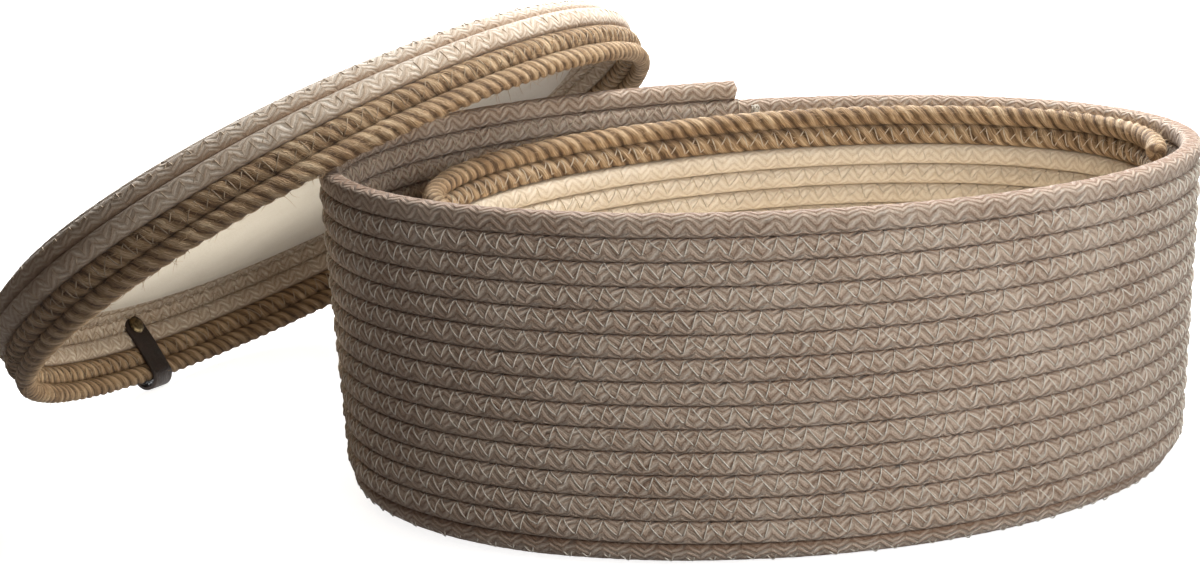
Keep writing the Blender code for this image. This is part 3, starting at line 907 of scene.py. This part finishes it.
def jute_look(name, tones):
    """Twisted jute: coarse, lumpy, streaked fibres that follow the strands, and painted shade in the gaps
    between them.
    """
    look = Look(name, Roughness=0.75, Specular_IOR_Level=0.4, Sheen_Weight=0.1, Sheen_Roughness=0.4)
    along, around, _ = look.split(look.place("UV"))
    frayed = look.weigh((around, JUTE_STRANDS), (along, -1.0), (look.sway(JUTE_WAVER, 3.0), 0.35))
    crest = look.math("ABSOLUTE", look.math("COSINE", look.times(frayed, math.pi)))
    fibres = []
    for (across_rate, along_rate), detail in ((COARSE_FIBRES, 2.0), (FINE_FIBRES, 3.0)):
        spot = look.join(look.times(frayed, across_rate), look.times(along, along_rate))
        fibres.append(look.noise(1.0, spot, detail))
    streak = look.span(look.weigh((fibres[0], 0.6), (fibres[1], 0.4)), *STREAK_SPAN)
    # The strands' crest makes the colour darker in the gaps between strands: painted shade. The streaks and
    # patches are the jute's own tone.
    tone = look.weigh((crest, 0.5), (streak, 0.45), (look.sway(JUTE_PATCH, 3.0), 0.7))
    look.colour(look.ramp(tone, JUTE_STOPS, tones))
    look.normal(look.bump(look.weigh((crest, 0.4), (streak, 0.6)), JUTE_BUMP))
    return look.material


def thread_look(name, tones):
    """Sewing thread: two plies twisted together."""
    look = Look(name, Roughness=0.6, Specular_IOR_Level=0.4, Sheen_Weight=0.2)
    look.colour(look.ramp(look.noise(THREAD_PATCH, look.place()), PLAIN_STOPS, tones))
    look.normal(look.bump(look.noise(THREAD_PLY, look.place(), 1.0), THREAD_RADIUS / 2))
    return look.material


def felt_look(name, tones):
    """Pressed white felt: matted fibres and a faint mottle."""
    look = Look(name, Roughness=0.95, Specular_IOR_Level=0.2, Sheen_Weight=0.3, Sheen_Roughness=0.6)
    matted = look.noise(FELT_MAT, look.place(), 4.0)
    mottle = look.noise(FELT_MOTTLE, look.place(), 3.0)
    look.colour(look.ramp(look.weigh((matted, 0.6), (mottle, 0.4)), FELT_STOPS, tones))
    look.normal(look.bump(matted, LINING_SWELL))
    return look.material


def leather_look(name, tones):
    """Dark leather: fine pebbled grain, worn paler where the noise is high."""
    look = Look(name, Specular_IOR_Level=0.5, Coat_Weight=0.08, Coat_Roughness=0.35)
    grain = look.add("TexVoronoi", {"Vector": look.place(), "Scale": LEATHER_GRAIN}).outputs["Distance"]
    creases = look.noise(LEATHER_CREASE, look.place(), 4.0)
    look.colour(look.ramp(look.noise(LEATHER_WEAR, look.place(), 3.0), LEATHER_STOPS, tones))
    look.roughness(look.span(creases, *NOISE_SPAN, *LEATHER_ROUGHNESS))
    look.normal(look.bump(look.weigh((grain, 1.0), (creases, 0.6)), GRAIN_BUMP))
    return look.material


def brass_look(name, tones):
    """Antiqued brass: brown patina with the metal rubbed through in patches."""
    look = Look(name, Metallic=1.0)
    patina = look.noise(BRASS_PATINA, look.place(), 4.0)
    look.colour(look.ramp(patina, BRASS_STOPS, tones))
    look.roughness(look.span(patina, *NOISE_SPAN, *BRASS_ROUGHNESS))
    look.normal(look.bump(look.noise(BRASS_DENT, look.place(), 3.0), THREAD_RADIUS / 4))
    return look.material


def paper_look(name, tones):
    """Matt pale paper under the basket, lit evenly as a studio table is."""
    glow = {"Emission_Color": (1, 1, 1, 1), "Emission_Strength": FLOOR_GLOW}
    look = Look(name, Roughness=0.7, Specular_IOR_Level=0.2, **glow)
    look.colour(look.ramp(look.noise(PAPER_SHADE, look.place()), PLAIN_STOPS, tones))
    look.normal(look.bump(look.noise(PAPER_TOOTH, look.place(), 3.0), THREAD_RADIUS / 4))
    return look.material


def make_floor():
    """A wide pale sheet that lies level under the basket."""
    verts = [(x * FLOOR_REACH, y * FLOOR_REACH, 0) for x, y in ((-1, -1), (1, -1), (1, 1), (-1, 1))]
    floor = plain_object("floor", verts, [(0, 1, 2, 3)], paper_look("pale_paper", PALE_PAPER))
    floor.visible_diffuse = False


def make_light(name, colour, place, target, power, size, spread=WIDE_SPREAD):
    """A round soft light, turned to its target and invisible itself: watts, metres and degrees."""
    data = bpy.data.lights.new(name, "AREA")
    data.shape = "DISK"
    data.size = size
    data.energy = power
    data.color = colour
    data.spread = math.radians(spread)
    obj = bpy.data.objects.new(name, data)
    obj.location = place
    obj.rotation_euler = (Vector(target) - Vector(place)).to_track_quat("-Z", "Y").to_euler()
    obj.visible_camera = False
    bpy.context.scene.collection.objects.link(obj)


def make_lights():
    """Daylight from above, the right, the front and behind, and two small glows as the floor would give."""
    right, front = (0.02, 0, 0.05), (0.09, -0.08, 0.06)
    above, behind = (0.04, 0, 0.08), (0, 0, 0.08)
    lid_end, back_wall = (-0.21, 0.07, 0.10), (-0.14, 0.10, 0.12)
    make_light("window_above", WHITE_LIGHT, (0.22, 0.14, 0.55), above, power=3.1, size=0.35, spread=140)
    make_light("window_right", SOFT_LIGHT, (0.37, -0.50, 0.27), right, power=1.25, size=0.25)
    make_light("window_front", SOFT_LIGHT, (0.04, -0.52, 0.25), front, power=0.22, size=0.2, spread=80)
    make_light("window_behind", COOL_LIGHT, (0.16, 1.5, 0.80), behind, power=50.0, size=1.0)
    make_light("under_the_lid", WARM_LIGHT, (-0.16, 0.03, 0.012), lid_end, power=0.07, size=0.09)
    make_light("behind_the_basket", WARM_LIGHT, (-0.13, 0.10, 0.015), back_wall, power=0.015, size=0.06)
    world = bpy.data.worlds.new("pale_studio")
    world.use_nodes = True
    sky = world.node_tree.nodes["Background"]
    sky.inputs["Color"].default_value = WARM_SKY
    sky.inputs["Strength"].default_value = SKY_STRENGTH
    bpy.context.scene.world = world
    bpy.context.scene.view_settings.view_transform = "Standard"


def make_camera():
    cos_yaw, sin_yaw = math.cos(CAMERA_YAW), math.sin(CAMERA_YAW)
    cos_pitch, sin_pitch = math.cos(CAMERA_PITCH), math.sin(CAMERA_PITCH)
    forward = Vector((sin_yaw * cos_pitch, cos_yaw * cos_pitch, -sin_pitch))
    level = Vector((cos_yaw, -sin_yaw, 0))
    upright = level.cross(forward)
    right = math.cos(CAMERA_ROLL) * level + math.sin(CAMERA_ROLL) * upright
    up = math.cos(CAMERA_ROLL) * upright - math.sin(CAMERA_ROLL) * level
    data = bpy.data.cameras.new("photo_view")
    data.sensor_width = SENSOR
    data.lens = SENSOR * FOCAL_PIXELS / PHOTO_WIDTH
    data.shift_x = (PHOTO_WIDTH / 2 - CENTRE_PIXEL[0]) / PHOTO_WIDTH
    data.shift_y = (CENTRE_PIXEL[1] - PHOTO_HEIGHT / 2) / PHOTO_WIDTH
    data.clip_start = NEAREST_SEEN
    obj = bpy.data.objects.new("photo_view", data)
    obj.matrix_world = Matrix.Translation(CAMERA_PLACE) @ Matrix((right, up, -forward)).transposed().to_4x4()
    bpy.context.scene.collection.objects.link(obj)
    bpy.context.scene.camera = obj


def make_outer(cotton, outside_thread, inside_thread):
    first = OUTER.turns
    wall = cotton_rope("outer_wall_rope", OUTER, 0.0, first, OUTER_PLACE, cotton)
    finish_piece(wall, "outer_basket", "greige_cotton", "outer_wall")
    base = cotton_rope("outer_base_rope", OUTER, first, OUTER.all_turns, OUTER_PLACE, cotton)
    finish_piece(base, "outer_basket", "greige_cotton", "outer_base")
    for face, outside, thread in (("outside", True, outside_thread), ("inside", False, inside_thread)):
        seam = zigzag_thread("outer_thread_" + face, OUTER, OUTER_PLACE, thread, outside)
        finish_piece(seam, "outer_basket", "greige_cotton")
    spot, way, _ = OUTER.place(np.array([KNOT_ROWS]))
    upright = np.array([0, 0, 1.0])
    knot = knot_object("outer_thread_knot", spot[0] - way[0] * (ROPE / 2), upright, outside_thread)
    finish_piece(knot, "outer_basket", "greige_cotton")


def make_inner(cotton, jute, thread):
    first = INNER.turns
    splice = (round(INNER_JUTE_TURNS * LOOP_POINTS) + 0.5) / LOOP_POINTS
    wall = cotton_rope("inner_wall_rope", INNER, splice, first, INNER_PLACE, cotton)
    finish_piece(wall, "inner_basket", "cream_cotton", "inner_wall")
    base = cotton_rope("inner_base_rope", INNER, first, INNER.all_turns, INNER_PLACE, cotton)
    finish_piece(base, "inner_basket", "cream_cotton", "inner_base")
    rim = jute_rope("inner_rim_rope", INNER, 0.0, splice, INNER_PLACE, jute)
    finish_piece(rim, "inner_basket", "jute", "inner_rim")
    for face, outside in (("outside", True), ("inside", False)):
        seam = zigzag_thread("inner_thread_" + face, INNER, INNER_PLACE, thread, outside, splice)
        finish_piece(seam, "inner_basket", "cream_cotton")
    hairs = jute_hairs("inner_rim_hairs", INNER, 0.0, splice, INNER_PLACE, jute)
    finish_piece(hairs, "inner_basket", "jute")


def make_lid(cotton, jute, thread, felt, leather, brass):
    first = LID.turns
    splice = (round(LID_JUTE_TURNS * LOOP_POINTS) + 0.5) / LOOP_POINTS
    wall = cotton_rope("lid_wall_rope", LID, splice, first, LID_COIL_PLACE, cotton)
    finish_piece(wall, "lid", "cream_cotton", "lid_wall")
    top = cotton_rope("lid_top_rope", LID, first, LID.all_turns, LID_COIL_PLACE, cotton)
    finish_piece(top, "lid", "cream_cotton", "lid_top")
    rim = jute_rope("lid_rim_rope", LID, 0.0, splice, LID_COIL_PLACE, jute)
    finish_piece(rim, "lid", "jute", "lid_rim")
    for face, outside in (("outside", True), ("inside", False)):
        seam = zigzag_thread("lid_thread_" + face, LID, LID_COIL_PLACE, thread, outside, splice)
        finish_piece(seam, "lid", "cream_cotton")
    hairs = jute_hairs("lid_rim_hairs", LID, 0.0, splice, LID_COIL_PLACE, jute)
    finish_piece(hairs, "lid", "jute")
    lining = finish_piece(lining_object("lid_lining_felt", felt), "lid", "felt", "lid_lining")
    seat = StrapSeat()
    finish_piece(strap_object("lid_strap_leather", seat, leather), "lid", "leather", "lid_strap")
    cap, washer = rivet_objects(seat, brass)
    finish_piece(cap, "lid", "antique_brass", "rivet_cap")
    finish_piece(washer, "lid", "antique_brass", "rivet_washer")


def main():
    make_camera()
    greige = cotton_look("greige_cotton_braid", GREIGE, BRAID_BUMP)
    cream = cotton_look("cream_cotton_braid", CREAM, BRAID_BUMP / 4)
    pale = cotton_look("pale_cotton_braid", PALE, BRAID_BUMP / 2)
    jute = jute_look("twisted_jute", JUTE_BROWN)
    pale_thread = thread_look("pale_thread", PALE_THREAD)
    cream_thread = thread_look("cream_thread", CREAM_THREAD)
    tan_thread = thread_look("tan_thread", TAN_THREAD)
    felt = felt_look("white_felt", FELT_WHITE)
    leather = leather_look("dark_leather", DARK_LEATHER)
    brass = brass_look("antique_brass", ANTIQUE_BRASS)
    make_outer(greige, pale_thread, cream_thread)
    make_inner(cream, jute, cream_thread)
    make_lid(pale, jute, tan_thread, felt, leather, brass)
    make_floor()
    make_lights()


main()
